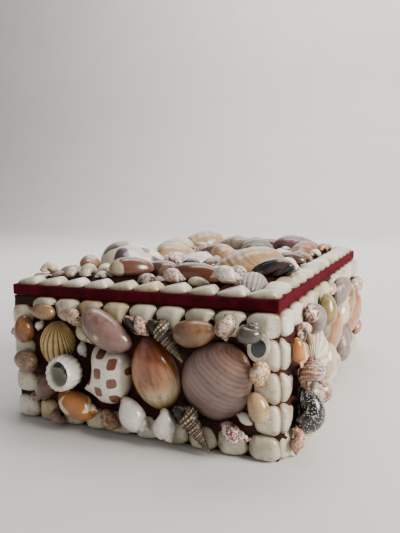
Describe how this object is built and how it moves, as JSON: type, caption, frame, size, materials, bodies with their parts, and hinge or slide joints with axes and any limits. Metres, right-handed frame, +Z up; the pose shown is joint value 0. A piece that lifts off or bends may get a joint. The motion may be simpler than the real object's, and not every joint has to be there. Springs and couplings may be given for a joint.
{
  "type": "shell-covered trinket box",
  "caption": "Rectangular trinket box with a hinged lid, covered all over in glued sea shells, with a crimson velvet band round the lid.",
  "frame": {"origin": "middle of the underside of the wooden base", "axes": "+X right along the short front, +Y from the front to the back, +Z up"},
  "size_m": [0.1584, 0.211, 0.081],
  "materials": {
    "wood": "plain sawn",
    "paper": "matte paper",
    "velvet": "velvet ribbon",
    "lining": "padded velvet",
    "brass": "aged",
    "white_clam": "satin shell",
    "mauve_shell": "polished shell",
    "tan_shell": "satin shell",
    "brown_shell": "glossy shell",
    "cream_shell": "satin shell",
    "gold_shell": "ribbed shell",
    "grey_shell": "satin shell",
    "dark_shell": "satin shell",
    "orange_shell": "ribbed shell",
    "spotted_shell": "glossy spotted shell",
    "speckled_shell": "netted shell",
    "pearl_shell": "pearly shell"
  },
  "bodies": {
    "box": {"back_border_clams": "white_clam", "back_clams": "brown_shell", "back_cockles": "gold_shell", "back_cowries": "tan_shell", "back_snails": "speckled_shell", "back_wall": "wood", "base_board": "wood", "box_hinge_leaves": "brass", "box_hinge_screws": "brass", "floor_lining": "lining", "front_border_clams": "white_clam", "front_cowries": "tan_shell", "front_dark_snail": "brown_shell", "front_golden_cockle": "gold_shell", "front_horn_shells": "dark_shell", "front_mauve_cowrie": "mauve_shell", "front_moon_shell": "cream_shell", "front_orange_whelk": "orange_shell", "front_pearl_snails": "pearl_shell", "front_rayed_clam": "brown_shell", "front_ringed_clam": "mauve_shell", "front_small_snails": "speckled_shell", "front_spotted_cone": "spotted_shell", "front_turban": "grey_shell", "front_wall": "wood", "hinge_pins": "brass", "left_border_clams": "white_clam", "left_clams": "brown_shell", "left_cockles": "gold_shell", "left_cowries": "tan_shell", "left_snails": "speckled_shell", "left_wall": "wood", "right_border_clams": "white_clam", "right_cowries": "tan_shell", "right_grey_clams": "grey_shell", "right_scallop": "orange_shell", "right_small_snails": "speckled_shell", "right_speckled_nerite": "dark_shell", "right_top_shell": "brown_shell", "right_wall": "wood", "right_warm_clams": "orange_shell", "right_white_cockle": "cream_shell", "side_lining": "lining", "wall_covering": "paper"},
    "lid": {"lid_blotched_helmet": "spotted_shell", "lid_board": "wood", "lid_border_clams": "white_clam", "lid_broken_mussel": "dark_shell", "lid_brown_cowries": "brown_shell", "lid_covering": "paper", "lid_domed_clams": "tan_shell", "lid_edge_band": "velvet", "lid_hinge_leaves": "brass", "lid_hinge_screws": "brass", "lid_lining": "lining", "lid_netted_snails": "speckled_shell", "lid_pale_clams": "cream_shell", "lid_ribbed_clam": "grey_shell", "lid_small_snails": "cream_shell", "lid_tan_clam": "tan_shell"}
  },
  "joints": [
    {"name": "lid_hinge", "type": "hinge", "parent": "box", "child": "lid", "pos_m": [-0.0675, 0, 0.06], "axis": [0, -1, 0], "range_deg": [0, 100]}
  ]
}
